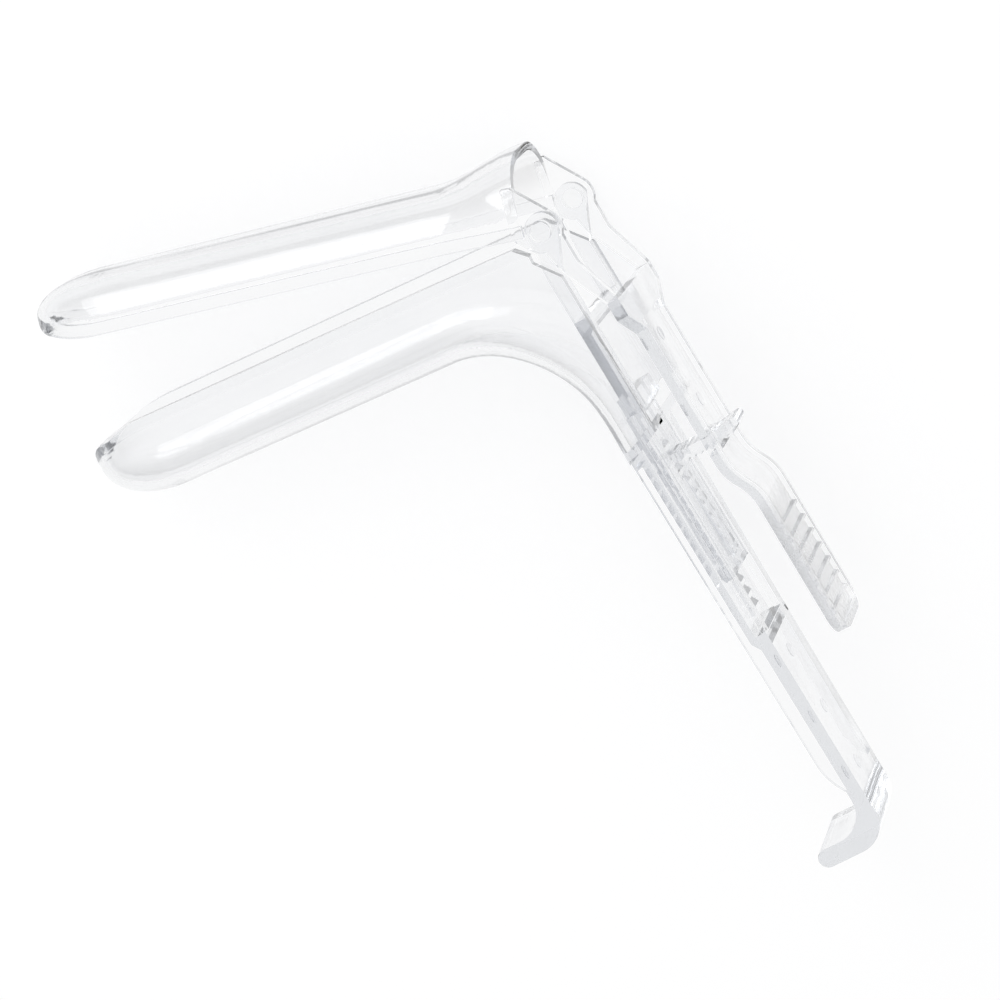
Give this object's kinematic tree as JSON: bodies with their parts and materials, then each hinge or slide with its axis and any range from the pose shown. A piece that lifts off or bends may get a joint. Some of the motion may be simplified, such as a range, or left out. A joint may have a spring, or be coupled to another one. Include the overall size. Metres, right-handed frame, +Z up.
{
  "type": "bivalve speculum",
  "caption": "Clear plastic bivalve speculum: scooped lower blade on a long handle, hinged upper blade with a thumb lever, and a sliding yoke with ratchets.",
  "frame": {"origin": "on the hinge axis, at the flat end of the hinge pin that rests on the table", "axes": "lying on its side: +X from the blades' tips back along the lower blade to the hinge, +Y from the handle's foot up towards the blades, +Z up from the table along the hinge axis"},
  "size_m": [0.136, 0.1794, 0.0352],
  "materials": {
    "clear_plastic": "gloss"
  },
  "bodies": {
    "lower_blade_handle": {"lower_blade_handle": "clear_plastic"},
    "slide_yoke": {"slide_yoke": "clear_plastic"},
    "upper_blade_lever": {"upper_blade_lever": "clear_plastic"}
  },
  "joints": [
    {"name": "yoke_slide", "type": "slide", "parent": "lower_blade_handle", "child": "slide_yoke", "axis": [-0.0872, 0.9962, 0], "range_m": [0, 0.02]},
    {"name": "blade_hinge", "type": "hinge", "parent": "slide_yoke", "child": "upper_blade_lever", "pos_m": [0, 0, 0.0176], "axis": [0, 0, -1], "range_deg": [-11, 4.5]}
  ]
}
